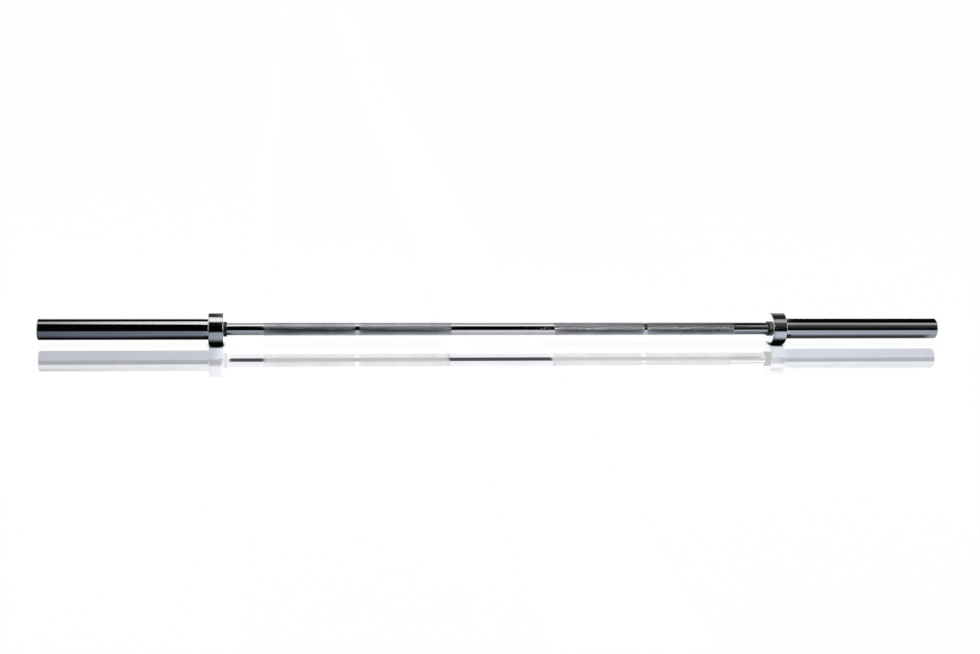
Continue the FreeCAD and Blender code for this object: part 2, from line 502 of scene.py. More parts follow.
@dataclass(frozen=True)
class PlasticFinish:
    """A turned plastic ring with faint tool marks."""

    name: str
    tint: Colour
    film_tint: Colour
    smooth: float
    dull: float
    marks: float = 1800.0
    mark_depth: float = 0.00001
    specular: float = 0.25
    patch: float = 90.0
    film_share: float = 0.5

    def material(self, shelf: EffectShelf) -> bpy.types.Material:
        """Builds the material.

        Args:
            shelf: The shared shader groups.

        Returns:
            The finished material.
        """
        material, wiring = new_material(self.name)
        turning = shelf.use(wiring, Effect.TURNING, Marks=self.marks)
        film = shelf.use(wiring, Effect.FILM, Patch=self.patch)
        colour = wiring.blend(wiring.times(film["Film"], self.film_share), self.tint, self.film_tint)
        rough = wiring.spread(turning["Streak"], 0.0, 1.0, self.smooth, self.dull)
        height = wiring.times(turning["Height"], self.mark_depth)
        finish_surface(wiring, colour, rough, height, {"Specular IOR Level": self.specular})
        return material


SMOOTH_CHROME = MetalFinish(
    "shaft_chrome", (0.80, 0.81, 0.85), (0.52, 0.54, 0.60), (0.86, 0.87, 0.90), 0.05, 0.24,
    marks=2600.0, mark_share=0.18, mark_depth=0.000001, ripple_depth=0.00002,
)
GRIP_CHROME = MetalFinish(
    "grip_chrome", (0.78, 0.80, 0.85), (0.22, 0.23, 0.26), (0.86, 0.87, 0.90), 0.26, 0.50,
    mark_share=0.1, groove_share=0.48, film_share=0.2,
)
SLEEVE_CHROME = MetalFinish(
    "sleeve_chrome", (0.82, 0.83, 0.87), (0.55, 0.57, 0.63), (0.88, 0.89, 0.91), 0.045, 0.28,
    marks=2200.0, mark_share=0.2, mark_depth=0.0000015, ripple_depth=0.00003,
)
COLLAR_CHROME = MetalFinish(
    "collar_chrome", (0.86, 0.87, 0.90), (0.46, 0.47, 0.50), (0.90, 0.90, 0.92), 0.08, 0.30,
    marks=900.0, mark_share=0.4, mark_depth=0.000006, ripple_depth=0.00003,
)
CAP_PLATE = MetalFinish(
    "cap_plate", (0.66, 0.67, 0.70), (0.36, 0.37, 0.39), (0.80, 0.81, 0.83), 0.18, 0.42,
    marks=1400.0, mark_share=0.5, mark_depth=0.000006, anisotropy=0.5,
)
BRONZE = MetalFinish(
    "bearing_bronze", (0.13, 0.118, 0.094), (0.05, 0.045, 0.036), (0.19, 0.175, 0.145), 0.10, 0.26,
    marks=1600.0, mark_share=0.3, mark_depth=0.000003, film_share=0.3,
)
WASHER_STEEL = MetalFinish(
    "washer_steel", (0.42, 0.42, 0.43), (0.16, 0.15, 0.14), (0.60, 0.60, 0.61), 0.25, 0.5,
    marks=1200.0, mark_share=0.5, mark_depth=0.000004, film_share=0.4,
)
SPRING_STEEL = MetalFinish(
    "spring_steel", (0.10, 0.10, 0.105), (0.05, 0.045, 0.04), (0.38, 0.38, 0.39), 0.3, 0.55,
    marks=700.0, mark_share=0.3, mark_depth=0.000003, film_share=0.4,
)
BLACK_ACETAL = PlasticFinish("black_acetal", (0.012, 0.012, 0.013), (0.03, 0.029, 0.028), 0.3, 0.5)


class Wardrobe:
    """Every material by slot, made once."""

    def __init__(self, shelf: EffectShelf) -> None:
        """Builds the materials.

        Args:
            shelf: The shared shader groups.
        """
        finishes = {
            Slot.SHAFT: SMOOTH_CHROME,
            Slot.SLEEVE: SLEEVE_CHROME,
            Slot.COLLAR: COLLAR_CHROME,
            Slot.CAP: CAP_PLATE,
            Slot.BRONZE: BRONZE,
            Slot.ACETAL: BLACK_ACETAL,
            Slot.WASHER: WASHER_STEEL,
            Slot.SPRING: SPRING_STEEL,
        }
        self.materials = {slot: finish.material(shelf) for slot, finish in finishes.items()}
        self.grip = GRIP_CHROME.material(shelf)

    def dress(self, node: str, slot: Slot) -> None:
        """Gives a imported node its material.

        Args:
            node: The node's name.
            slot: Its finish.
        """
        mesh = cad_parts[node].data
        mesh.materials.clear()
        mesh.materials.append(self.materials[slot])
        log.info("dressed %s in %s", node, slot.value)


@dataclass(frozen=True)
class Corner:
    """One corner of a turned outline, eased by a small radius."""

    x: float
    r: float
    ease: float = 0.0


@dataclass(frozen=True)
class Ring:
    """One ring of points round the bar: its place, radii and marks in turn round it."""

    x: float
    radii: tuple[float, ...]
    edge: float = 0.0
    groove: tuple[float, ...] = (0.0,)
    knurled: bool = False


@dataclass
class Turning:
    """A piece turned on a lathe, with eased corners and a map laid out in strips."""

    name: str
    segments: int = 160
    longest: float = 0.012
    ease_steps: int = 4
    strips: int = 4
    ease_room: float = 0.45
    guard_reach: float = 1.6
    guard_room: float = 0.49
    rub: float = 0.5
    strip_inset: float = 0.04
    round_inset: float = 0.02
    crease: float = 40.0

    def outline(self, corners: list[Corner], closed: bool) -> list[Ring]:
        """Eases the corners of an outline and divides its long runs.

        Args:
            corners: The outline, outer surface towards plus X.
            closed: Whether the last corner joins the first.

        Returns:
            The rings in order.
        """
        points: list[tuple[float, float, float]] = []
        count = len(corners)
        for index, corner in enumerate(corners):
            here = Vector((corner.x, corner.r))
            if corner.ease <= 0.0 or (not closed and index in (0, count - 1)):
                points.append((here.x, here.y, 0.0))
                continue
            back = Vector((corners[index - 1].x, corners[index - 1].r)) - here
            following = corners[(index + 1) % count]
            ahead = Vector((following.x, following.r)) - here
            reach = min(corner.ease, back.length * self.ease_room, ahead.length * self.ease_room)
            first = here + back.normalized() * reach
            last = here + ahead.normalized() * reach
            guard = here + back.normalized() * min(reach * self.guard_reach, back.length * self.guard_room)
            points.append((guard.x, guard.y, 0.0))
            for step in range(self.ease_steps + 1):
                t = step / self.ease_steps
                at = first * (1 - t) ** 2 + here * (2 * t * (1 - t)) + last * t ** 2
                points.append((at.x, at.y, 1.0 - abs(2 * t - 1) * self.rub))
            guard = here + ahead.normalized() * min(reach * self.guard_reach, ahead.length * self.guard_room)
            points.append((guard.x, guard.y, 0.0))
        if closed:
            points.append(points[0])
        rings = []
        for start, end in zip(points, points[1:]):
            steps = max(1, math.ceil(math.dist(start[:2], end[:2]) / self.longest))
            for step in range(steps):
                t = step / steps
                x, r, edge = (a + (b - a) * t for a, b in zip(start, end))
                rings.append(Ring(x, (r,), edge))
        if not closed:
            rings.append(Ring(points[-1][0], (points[-1][1],)))
        return rings

    def mesh(self, rings: list[Ring], closed: bool) -> bpy.types.Mesh:
        """Joins rings to one closed skin.

        Args:
            rings: The rings in order.
            closed: Whether the last ring joins the first; else both ends are points on the axis.

        Returns:
            The mesh, shaded, marked and mapped.
        """
        turns = self.segments
        vertices, edges, grooves = [], [], []
        for ring in rings:
            for j in range(turns):
                angle = 2 * math.pi * j / turns
                r = ring.radii[j % len(ring.radii)]
                vertices.append((ring.x, r * math.cos(angle), r * math.sin(angle)))
                edges.append(ring.edge)
                grooves.append(ring.groove[j % len(ring.groove)])
        travel = [0.0]
        for a, b in zip(rings, rings[1:] + rings[:1]):
            travel.append(travel[-1] + math.dist((a.x, a.radii[0]), (b.x, b.radii[0])))
        faces, places, rough = [], [], []
        last = len(rings) if closed else len(rings) - 1
        strip_length = travel[last] / self.strips
        for i in range(last):
            k = (i + 1) % len(rings)
            strip = min(self.strips - 1, int((travel[i] + travel[i + 1]) / 2 / strip_length))
            left, right = (
                self.strip_inset + (1 - 2 * self.strip_inset) * (travel[n] / strip_length - strip)
                for n in (i, i + 1)
            )
            knurled = rings[i].knurled and rings[k].knurled
            marks = rings[i].groove
            for j in range(turns):
                m = (j + 1) % turns
                corners = [(i, j, left, j), (i, m, left, j + 1), (k, m, right, j + 1), (k, j, right, j)]
                groups = [corners]
                if knurled:
                    low = marks[j % len(marks)] > marks[m % len(marks)]
                    a, b, c, d = corners
                    groups = [[a, b, c], [a, c, d]] if low else [[a, b, d], [b, c, d]]
                for group in groups:
                    faces.append([n * turns + s for n, s, _, _ in group])
                    for _, _, u, t in group:
                        share = self.round_inset + (1 - 2 * self.round_inset) * t / turns
                        places.append((u, (strip + share) / self.strips))
                    rough.append(knurled)
        mesh = bpy.data.meshes.new(self.name)
        mesh.from_pydata(vertices, [], faces)
        mesh.polygons.foreach_set("use_smooth", [not flag for flag in rough])
        mesh.polygons.foreach_set("material_index", [int(flag) for flag in rough])
        for mark, values in ((EDGE_MARK, edges), (GROOVE_MARK, grooves)):
            mesh.attributes.new(mark, "FLOAT", "POINT").data.foreach_set("value", values)
        layer = mesh.uv_layers.new(name=MAP_NAME)
        layer.uv.foreach_set("vector", [n for place in places for n in place])
        mesh.set_sharp_from_angle(angle=math.radians(self.crease))
        mesh.update()
        return mesh

    def piece(self, rings: list[Ring], closed: bool, body: str, slot: Slot, node: str) -> bpy.types.Object:
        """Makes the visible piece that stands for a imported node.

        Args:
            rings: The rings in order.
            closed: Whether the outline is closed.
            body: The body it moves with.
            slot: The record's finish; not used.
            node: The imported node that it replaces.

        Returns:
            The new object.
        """
        piece = bpy.data.objects.new(self.name, self.mesh(rings, closed))
        bpy.context.scene.collection.objects.link(piece)
        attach(piece, body)
        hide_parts(node)
        log.info("built %s with %d faces", self.name, len(piece.data.polygons))
        return piece


@dataclass
class Shaft:
    """The bar itself: smooth seats and middle, four rolled grip bands, two ring marks, two journals."""

    middle: float = 0.254
    ring_spacing: float = 0.706
    ring_width: float = 0.009
    plain_end: float = 0.094
    clear_span: float = 1.340
    grip_radius: float = 0.015
    crest: float = 0.0152
    root: float = 0.01493
    diamonds: int = 56
    lead: float = 30.0
    run_out: float = 0.0006
    journal_radius: float = 0.0125
    shoulder_x: float = 0.6628
    groove_x: tuple[float, float] = (1.0822, 1.0835)
    groove_radius: float = 0.01195
    centre_hole: tuple[float, float] = (0.004, 0.00693)
    hole_tip: float = 0.00005
    ease: float = 0.0004

    def band(self, start: float, end: float) -> list[Ring]:
        """The rolled diamonds of one grip band.

        Args:
            start: Where the band begins along X.
            end: Where it ends.

        Returns:
            Its rings, with the smooth run-out at both ends.
        """
        pitch = 2 * math.pi * self.grip_radius / self.diamonds
        rise = pitch / math.tan(math.radians(self.lead)) / 2
        rows = max(2, round((end - start - 2 * self.run_out) / rise))
        step = (end - start - 2 * self.run_out) / rows
        plain = (self.grip_radius,)
        rings = [Ring(start, plain)]
        for row in range(rows + 1):
            x = start + self.run_out + row * step
            low, high = self.root, self.crest
            if row in (0, rows):
                high = (self.root + self.crest) / 2
            radii, marks = (high, low), (0.0, 1.0)
            if row % 2:
                radii, marks = radii[::-1], marks[::-1]
            rings.append(Ring(x, radii, 0.0, marks, True))
        return rings + [Ring(end, plain)]

    def half(self, lathe: Turning) -> list[Ring]:
        """The right half of the shaft from the middle outwards.

        Args:
            lathe: What eases the outline.

        Returns:
            Its rings.
        """
        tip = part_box("shaft")[1].x
        ring_in = (self.ring_spacing - self.ring_width) / 2
        ring_out = ring_in + self.ring_width
        grip_end = self.clear_span / 2 - self.plain_end
        hole_radius, hole_depth = self.centre_hole
        groove_in, groove_out = self.groove_x
        grip, journal, ease = self.grip_radius, self.journal_radius, self.ease
        outer = [
            Corner(grip_end, grip),
            Corner(self.shoulder_x, grip, ease),
            Corner(self.shoulder_x, journal),
            Corner(groove_in, journal),
            Corner(groove_in, self.groove_radius),
            Corner(groove_out, self.groove_radius),
            Corner(groove_out, journal),
            Corner(tip, journal, ease),
            Corner(tip, hole_radius, ease / 2),
            Corner(tip - hole_depth, self.hole_tip),
        ]
        middle = lathe.outline([Corner(0.0, grip), Corner(self.middle / 2, grip)], False)
        mark = lathe.outline([Corner(ring_in, grip), Corner(ring_out, grip)], False)
        return (
            middle[:-1]
            + self.band(self.middle / 2, ring_in)
            + mark[1:-1]
            + self.band(ring_out, grip_end)
            + lathe.outline(outer, False)[1:]
        )

    def build(self, wardrobe: Wardrobe) -> None:
        """Builds and dresses the shaft.

        Args:
            wardrobe: The materials.
        """
        lathe = Turning("bar_shaft", segments=2 * self.diamonds, strips=8)
        right = self.half(lathe)
        left = [replace(ring, x=-ring.x) for ring in reversed(right[1:])]
        piece = lathe.piece(left + right, False, "shaft", Slot.SHAFT, "shaft")
        piece.data.materials.append(wardrobe.materials[Slot.SHAFT])
        piece.data.materials.append(wardrobe.grip)


@dataclass
class SleeveUnit:
    """One turning end of the bar: sleeve, stop collar, bearings, end cap and its ring."""

    side: Side
    cone: float = 0.002
    end_chamfer: float = 0.0015
    spigot_radius: float = 0.0229
    bushing_radius: float = 0.01655
    bushing_length: float = 0.050
    relief_radius: float = 0.0155
    outer_bushing_x: tuple[float, float] = (1.0286, 1.0786)
    chamber_radius: float = 0.0175
    cap_x: float = 1.090
    cap_radius: float = 0.019
    groove_x: tuple[float, float] = (1.0959, 1.0975)
    groove_radius: float = 0.02025
    collar_chamfer: float = 0.0012
    small_ease: float = 0.0005
    rim_ease: float = 0.0005
    sleeve_segments: int = 160
    sleeve_strips: int = 6
    collar_segments: int = 192
    collar_strips: int = 2

    def outwards(self, node: str) -> tuple[float, float, float]:
        """A node's inner end, outer end and radius, counted outwards from the middle of the bar."""
        low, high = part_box(self.side.node(node))
        ends = sorted((low.x * self.side.sign, high.x * self.side.sign))
        return ends[0], ends[1], high.z

    def turned(
        self, name: str, corners: list[Corner], node: str, slot: Slot, segments: int, strips: int
    ) -> bpy.types.Object:
        """Turns one closed piece of this end.

        Args:
            name: The piece's name without its side.
            corners: Its outline on the right hand side, outer surface outwards.
            node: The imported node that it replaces, without its side.
            slot: The record's finish.
            segments: Facets round it.
            strips: Strips of its map.

        Returns:
            The piece.
        """
        if self.side is Side.LEFT:
            corners = [replace(corner, x=-corner.x) for corner in reversed(corners)]
        lathe = Turning(self.side.node(name), segments, strips=strips)
        rings = lathe.outline(corners, True)
        return lathe.piece(rings, True, self.side.body, slot, self.side.node(node))

    def build_sleeve(self) -> bpy.types.Object:
        """Builds the tube that carries the plates, bored through.

        Returns:
            The sleeve.
        """
        inner, tip, radius = self.outwards("sleeve")
        collar_end = self.outwards("stop_collar")[1]
        seat_in, seat_out = self.outer_bushing_x
        groove_in, groove_out = self.groove_x
        ease, rim = self.small_ease, self.rim_ease
        corners = [
            Corner(inner, self.bushing_radius),
            Corner(inner, self.spigot_radius, ease),
            Corner(collar_end - self.cone, self.spigot_radius),
            Corner(collar_end, radius),
            Corner(tip - self.end_chamfer, radius, rim),
            Corner(tip, radius - self.end_chamfer, rim),
            Corner(tip, self.cap_radius, ease),
            Corner(groove_out, self.cap_radius),
            Corner(groove_out, self.groove_radius),
            Corner(groove_in, self.groove_radius),
            Corner(groove_in, self.cap_radius),
            Corner(self.cap_x, self.cap_radius),
            Corner(self.cap_x, self.chamber_radius),
            Corner(seat_out, self.chamber_radius),
            Corner(seat_out, self.bushing_radius),
            Corner(seat_in, self.bushing_radius),
            Corner(seat_in, self.relief_radius),
            Corner(inner + self.bushing_length, self.relief_radius),
            Corner(inner + self.bushing_length, self.bushing_radius),
        ]
        return self.turned(
            "sleeve_tube", corners, "sleeve", Slot.SLEEVE, self.sleeve_segments, self.sleeve_strips
        )

    def build_collar(self) -> bpy.types.Object:
        """Builds the ring that the plates stop against.

        Returns:
            The collar.
        """
        inner, outer, radius = self.outwards("stop_collar")
        sleeve_radius = self.outwards("sleeve")[2]
        chamfer, rim = self.collar_chamfer, self.rim_ease
        corners = [
            Corner(inner, self.spigot_radius, self.small_ease),
            Corner(inner, radius - chamfer, rim),
            Corner(inner + chamfer, radius, rim),
            Corner(outer - chamfer, radius, rim),
            Corner(outer, radius - chamfer, rim),
            Corner(outer, sleeve_radius, self.small_ease),
            Corner(outer - self.cone, self.spigot_radius),
        ]
        return self.turned(
            "collar_ring", corners, "stop_collar", Slot.COLLAR, self.collar_segments, self.collar_strips
        )

    def build(self, wardrobe: Wardrobe) -> None:
        """Builds and dresses this end.

        Args:
            wardrobe: The materials.
        """
        sleeve = self.build_sleeve()
        sleeve.data.materials.append(wardrobe.materials[Slot.SLEEVE])
        collar = self.build_collar()
        collar.data.materials.append(wardrobe.materials[Slot.COLLAR])
        for piece, slot in (
            ("inner_bushing", Slot.BRONZE),
            ("outer_bushing", Slot.BRONZE),
            ("end_cap", Slot.CAP),
            ("cap_retaining_ring", Slot.SPRING),
        ):
            wardrobe.dress(self.side.node(piece), slot)


@dataclass
class ThrustStack:
    """The washers and the ring that hold a sleeve on the shaft."""

    side: Side

    def build(self, wardrobe: Wardrobe) -> None:
        """Dresses the stack.

        Args:
            wardrobe: The materials.
        """
        for piece, slot in (
            ("inner_thrust_washer", Slot.ACETAL),
            ("outer_thrust_washer", Slot.WASHER),
            ("end_float_shim", Slot.WASHER),
            ("shaft_retaining_ring", Slot.SPRING),
        ):
            wardrobe.dress(self.side.node(piece), slot)


@dataclass
class Viewpoint:
    """The camera, placed as the photograph was taken."""

    foot: float = -0.50
    distance: float = 3.70
    elevation: float = 15.0
    aim_x: float = -0.031
    aim_rise: float = 0.0047
    lens: float = 56.3
    roll: float = -0.06

    def build(self) -> None:
        """Places the camera so that the bar lies level."""
        lift = math.radians(self.elevation)
        place = Vector((self.foot, -self.distance * math.cos(lift), self.distance * math.sin(lift)))
        aim = Vector((self.aim_x, self.aim_rise * math.sin(lift), self.aim_rise * math.cos(lift)))
        forward = (aim - place).normalized()
        up = Vector((1, 0, 0)).cross(forward).normalized()
        right = forward.cross(up)
        camera = bpy.data.cameras.new("studio_camera")
        camera.lens = self.lens
        rig = bpy.data.objects.new("studio_camera", camera)
        bpy.context.scene.collection.objects.link(rig)
        turn = Matrix((right, up, -forward)).transposed().to_4x4()
        roll = Matrix.Rotation(math.radians(self.roll), 4, "Z")
        rig.matrix_world = Matrix.Translation(place) @ turn @ roll
        bpy.context.scene.camera = rig


class Card(Enum):
    """The dark cards that stand round the bar."""

    FRONT = "studio_front_card"
    BACK = "studio_back_card"
    LEFT = "studio_left_card"
    RIGHT = "studio_right_card"


class StageSurface:
    """A material of the studio, shaded by the place along the bar that shows it to the camera."""

    # Glossy bounces after which a ray comes from the bar's mirror image in the floor.
    IMAGE_BOUNCES = 1.5
    # Pairs of a place along the bar and a level there.
    GRIP: Stops = (
        (0.127, 0.0), (0.135, 1.0), (0.341, 1.0), (0.346, 0.0),
        (0.360, 0.0), (0.365, 1.0), (0.562, 1.0), (0.574, 0.0),
    )
    IMAGE_LOW: Stops = (
        (-1.1, 0.42), (-0.70, 0.50), (-0.66, 1.0), (0.565, 1.0), (0.585, 0.55), (0.655, 0.55),
        (0.667, 0.77), (0.703, 0.77), (0.712, 0.66), (1.1, 0.60),
    )
    IMAGE_HIGH: Stops = (
        (-1.1, 0.76), (-0.70, 0.86), (-0.66, 1.0), (0.655, 1.0), (0.70, 0.9), (1.1, 0.85),
    )
    IMAGE_GAIN = 1.1
    # The mirror image of the ends is a little blue, less so from high up.
    IMAGE_BLUE = (0.95, 1.0, 1.12)
    SLEEVE_FROM = (0.655, 0.672)
    BLUE_BY_HEIGHT = (0.0, 1.0, 1.0, 0.3)

    def __init__(self, name: str, view: Viewpoint) -> None:
        """Begins the material.

        Args:
            name: Its name.
            view: The place that the bar is seen from.
        """
        self.material, self.wiring = new_material(name)
        wiring = self.wiring
        wiring.tree.nodes.clear()
        self.x, self.y, self.z = wiring.place()
        self.path = wiring.add("ShaderNodeLightPath").outputs
        self.imaged = wiring.math("GREATER_THAN", self.path["Glossy Depth"], self.IMAGE_BOUNCES)
        share = wiring.math("DIVIDE", wiring.radius(self.y, self.z), view.distance)
        shifted = wiring.math("ADD", self.x, wiring.times(share, view.foot))
        self.along = wiring.math("DIVIDE", shifted, wiring.math("ADD", share, 1.0))
        self.aside = wiring.math("ABSOLUTE", self.along)

    def image_light(self, height: Wire, share: Wire) -> Socket:
        """The light that the bar's mirror image in the floor is seen by.

        Args:
            height: Nought for the light from low down, one for the light from high up.
            share: What the light is multiplied by.

        Returns:
            The colour's socket.
        """
        wiring = self.wiring
        low = wiring.ramp(self.along, self.IMAGE_LOW, self.IMAGE_GAIN)
        high = wiring.ramp(self.along, self.IMAGE_HIGH, self.IMAGE_GAIN)
        level = wiring.times(wiring.spread(height, 0.0, 1.0, low, high), share)
        ends = wiring.spread(self.aside, *self.SLEEVE_FROM)
        blue = wiring.times(ends, wiring.spread(height, *self.BLUE_BY_HEIGHT))
        tint = wiring.blend(blue, WHITE, self.IMAGE_BLUE)
        return wiring.add("ShaderNodeVectorMath", {0: tint, "Scale": level}, operation="SCALE").outputs[0]

    def show(self, shader: Socket) -> bpy.types.Material:
        """Ends the material with a shader."""
        self.wiring.add("ShaderNodeOutputMaterial", {"Surface": shader})
        return self.material


class FloorSurface(StageSurface):
    """White to the camera with a faint mirror image and a soft shadow; to the metal it glows with painted
    reflections, shade and shadow.
    """

    GLOW = 0.83
    LIT = 0.25
    PLAIN = (0.8, 0.8, 0.8)
    # The painted brightness of the floor's reflection in front of the bar, by the place along it and by the
    # kind of surface.
    LEVEL: Stops = (
        (-1.35, 0.4), (-1.2, 0.12), (-0.95, 0.20), (-0.74, 0.26), (-0.6, 0.42), (0.0, 0.74), (0.65, 0.50),
        (1.2, 0.455),
    )
    ZONES: Stops = (
        (0.127, 0.6), (0.135, 0.47), (0.341, 0.47), (0.346, 0.62), (0.360, 0.62), (0.365, 0.47),
        (0.562, 0.47), (0.574, 0.6), (0.66, 0.6), (0.67, 0.8), (0.703, 0.8), (0.712, 0.6),
    )
    ZONE_GAIN = 1 / 0.6
    # Painted shade: how the floor darkens far in front of smooth metal and of the grip, across Y, as the
    # metal sees it.
    SMOOTH_FAR_SHADE = (-0.50, -0.20, 0.03, 1.0)
    GRIP_FAR_SHADE = (-0.13, 0.03, 0.03, 1.0)
    # The painted shadow close under the bar, as the metal sees the floor: how early it starts, and how deep
    # it is.
    UNDER_SHADOW_EARLY: Stops = (
        (-0.95, 0.0), (-0.74, 0.38), (-0.714, 0.38), (-0.708, 0.70), (-0.665, 0.70), (-0.655, 0.38),
        (0.655, 0.38), (0.664, 1.0), (0.708, 1.0), (0.716, 0.38),
    )
    EARLY_REACH = 0.018
    EARLY_SHIFT = 0.006
    UNDER_SHADOW_DEPTH: Stops = (
        (-1.35, 0.3), (-1.12, 0.97), (-0.714, 0.97), (-0.708, 0.995), (-0.662, 0.995), (-0.645, 0.3),
        (-0.58, 0.3), (-0.56, 0.0), (-0.137, 0.0), (-0.127, 0.3), (0.127, 0.3), (0.137, 0.0), (0.56, 0.0),
        (0.58, 0.3), (0.64, 0.3), (0.658, 0.995), (0.708, 0.995), (0.716, 0.88), (1.06, 0.88), (1.075, 0.2),
    )
    UNDER_SHADOW_FADE = (-0.050, -0.022)
    # The painted shade in front of the right smooth end of the shaft, as the metal sees the floor.
    SEAT_SHADE_DEPTH: Stops = ((0.565, 0.0), (0.58, 0.5), (0.655, 0.5), (0.668, 0.0))
    SEAT_SHADE_FADE = (-0.085, -0.045)
    # The tint of the floor's painted reflection outside the middle, on the left sleeve and past the ends of
    # the bar.
    OUTER_REFLECTION_TINT = (0.85, 0.91, 1.0)
    OUTER_FROM = (0.12, 0.2)
    LEFT_REFLECTION_TINT = (0.74, 0.83, 1.0)
    LEFT_FROM = (-0.72, -0.71, 1.0, 0.0)
    PAST_REFLECTION_TINT = (0.50, 0.53, 0.58)
    PAST_FROM = (1.2, 1.6)
    # Behind the bar the metal sees the floor as a painted white glow, from a different Y under each kind of
    # surface.
    BEHIND_REFLECTION_GLOW = (1.2, 1.2, 1.2)
    BEHIND_MIDDLE = (0.04, 0.13)
    MIDDLE_UNTIL = (0.56, 0.60, 1.0, 0.0)
    FACES: Stops = ((0.54, 0.0), (0.57, 1.0), (0.668, 1.0), (0.675, 0.0))
    BEHIND_FACES = (0.0, 0.03)
    BEHIND_GRIP = (-0.03, 0.04)
    GRIP_WHITE = 0.75
    BEHIND_ALL = (0.35, 0.60)
    # A painted shadow strip under the bar, dark to the bar's mirror image, further forward at the sleeves.
    SHADOW_STRIP_LEAD = (0.65, 0.69, 0.0, 0.06)
    SHADOW_STRIP_FADE = (-0.036, -0.022, 1.0, 0.0)
    SHADOW_STRIP_DEPTH = (0.65, 0.69, 0.95, 0.45)
    # How strongly the floor mirrors the bar, set part by part along it as a painted reflection strength,
    # with a weaker mirror beside the left collar.
    MIRROR_STRENGTH: Stops = (
        (-0.70, 0.75), (-0.662, 0.75), (-0.652, 0.97), (-0.578, 0.97), (-0.568, 0.53), (-0.147, 0.53),
        (-0.141, 0.97), (0.099, 0.97), (0.105, 0.46), (0.53, 0.46), (0.54, 0.5), (0.645, 0.5), (0.665, 0.75),
    )
    WEAK_MIRROR_PATCH: Stops = ((-0.671, 0.0), (-0.666, 0.7), (-0.654, 0.7), (-0.650, 0.0))
    WEAK_MIRROR_FROM = (-0.26, -0.23)
    WEAK_MIRROR_UNTIL = (-0.08, -0.06, 1.0, 0.0)
    # The painted contact shadow where the collars touch the floor, drawn black where ambient occlusion finds
    # the bar close.
    CONTACT_SHADOW_REACH = 0.014
    CONTACT_SHADOW_SAMPLES = 8
    CONTACT_SHADOW_FADE = (0.25, 0.75)

    def tone(self) -> Socket:
        """The floor as the metal shows it: a painted reflection of a pale sheet, with painted shade to the
        left and a painted shadow close under the bar.

        Returns:
            The colour's socket.
        """
        wiring, y, along, aside = self.wiring, self.y, self.along, self.aside
        grip = wiring.ramp(aside, self.GRIP)
        # Painted shade far in front of the bar, as the metal sees the floor.
        far = wiring.spread(
            grip, 0.0, 1.0, wiring.spread(y, *self.SMOOTH_FAR_SHADE), wiring.spread(y, *self.GRIP_FAR_SHADE)
        )
        zones = wiring.ramp(aside, self.ZONES, self.ZONE_GAIN)
        level = wiring.times(wiring.ramp(along, self.LEVEL), zones, far)
        early = wiring.ramp(along, self.UNDER_SHADOW_EARLY, self.EARLY_REACH)
        shifted = wiring.math("ADD", y, wiring.math("SUBTRACT", early, self.EARLY_SHIFT))
        # Painted shadow close under the bar.
        under = wiring.times(wiring.spread(shifted, *self.UNDER_SHADOW_FADE), wiring.ramp(along, self.UNDER_SHADOW_DEPTH))
        # Painted shade in front of the right smooth end of the shaft.
        seat = wiring.times(wiring.spread(y, *self.SEAT_SHADE_FADE), wiring.ramp(along, self.SEAT_SHADE_DEPTH))
        shade = wiring.times(wiring.less(under), wiring.less(seat))
        # Tints of the floor's painted reflection.
        tint = wiring.blend(wiring.spread(aside, *self.OUTER_FROM), WHITE, self.OUTER_REFLECTION_TINT)
        tint = wiring.blend(wiring.spread(along, *self.LEFT_FROM), tint, self.LEFT_REFLECTION_TINT)
        front = wiring.blend(wiring.times(level, shade), BLACK, tint)
        front = wiring.blend(wiring.spread(aside, *self.PAST_FROM), front, self.PAST_REFLECTION_TINT)
        return wiring.blend(self.behind(grip), front, self.BEHIND_REFLECTION_GLOW)

    def behind(self, grip: Wire) -> Socket:
        """How much painted white glow the metal sees from the floor behind the bar, where undersides and the
        collars' inner faces show it.

        Args:
            grip: Where the bar is knurled.

        Returns:
            The level's socket.
        """
        wiring, y = self.wiring, self.y
        aside = wiring.math("ABSOLUTE", self.x)
        middle = wiring.times(
            wiring.spread(y, *self.BEHIND_MIDDLE), wiring.spread(aside, *self.MIDDLE_UNTIL)
        )
        faces = wiring.times(wiring.spread(y, *self.BEHIND_FACES), wiring.ramp(aside, self.FACES))
        diamonds = wiring.times(wiring.spread(y, *self.BEHIND_GRIP), wiring.times(grip, self.GRIP_WHITE))
        return wiring.math("MAXIMUM", middle, faces, diamonds, wiring.spread(y, *self.BEHIND_ALL))

    def mirror_strength(self) -> Socket:
        """How strongly the floor mirrors each part of the bar: a painted reflection strength.

        Returns:
            The level's socket.
        """
        wiring, x, y = self.wiring, self.x, self.y
        reach = wiring.times(wiring.spread(y, *self.WEAK_MIRROR_FROM), wiring.spread(y, *self.WEAK_MIRROR_UNTIL))
        dull = wiring.times(wiring.ramp(x, self.WEAK_MIRROR_PATCH), reach)
        return wiring.times(wiring.ramp(x, self.MIRROR_STRENGTH), wiring.less(dull))

    def build(self) -> bpy.types.Material:
        """Builds the material.

        Returns:
            The floor's material.
        """
        wiring = self.wiring
        aside = wiring.math("ABSOLUTE", self.x)
